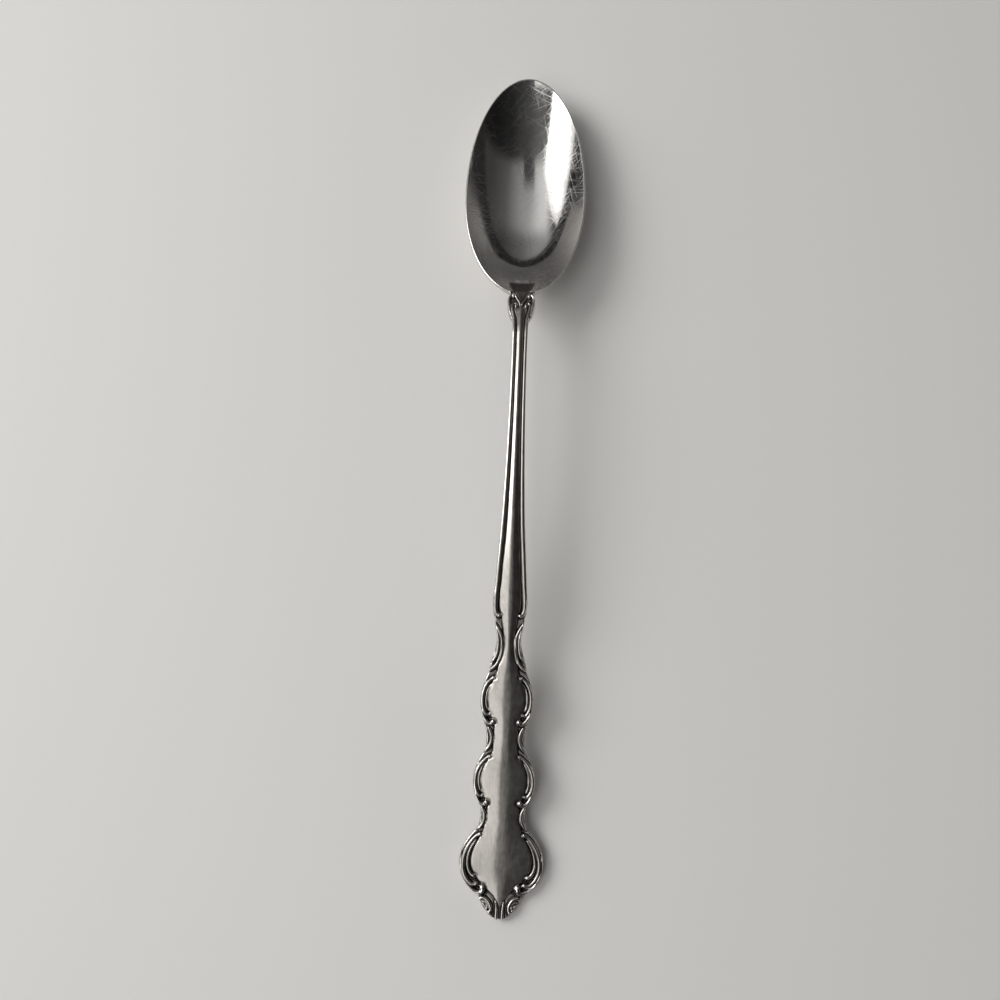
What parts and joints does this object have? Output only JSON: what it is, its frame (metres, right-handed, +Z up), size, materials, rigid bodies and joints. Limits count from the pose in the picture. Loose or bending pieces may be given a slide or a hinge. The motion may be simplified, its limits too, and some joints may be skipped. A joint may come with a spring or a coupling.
{
  "type": "iced tea spoon",
  "caption": "Long-handled iced tea spoon in stainless steel: pointed oval bowl, slim arched shank with beaded edges, and a lobed handle end with a scroll border in relief.",
  "frame": {"origin": "on the table, under the middle of the spoon's length and width", "axes": "+Y from the handle end towards the bowl tip, +Z up out of the open bowl, +X to the right"},
  "size_m": [0.0278, 0.19, 0.0151],
  "materials": {
    "polished_steel": "polished, with fine wear scratches",
    "satin_steel": "satin, darker in the recesses"
  },
  "bodies": {
    "root": {"bowl": "polished_steel", "neck": "satin_steel", "shank": "satin_steel", "handle": "satin_steel", "tip_shell": "satin_steel"}
  },
  "joints": []
}
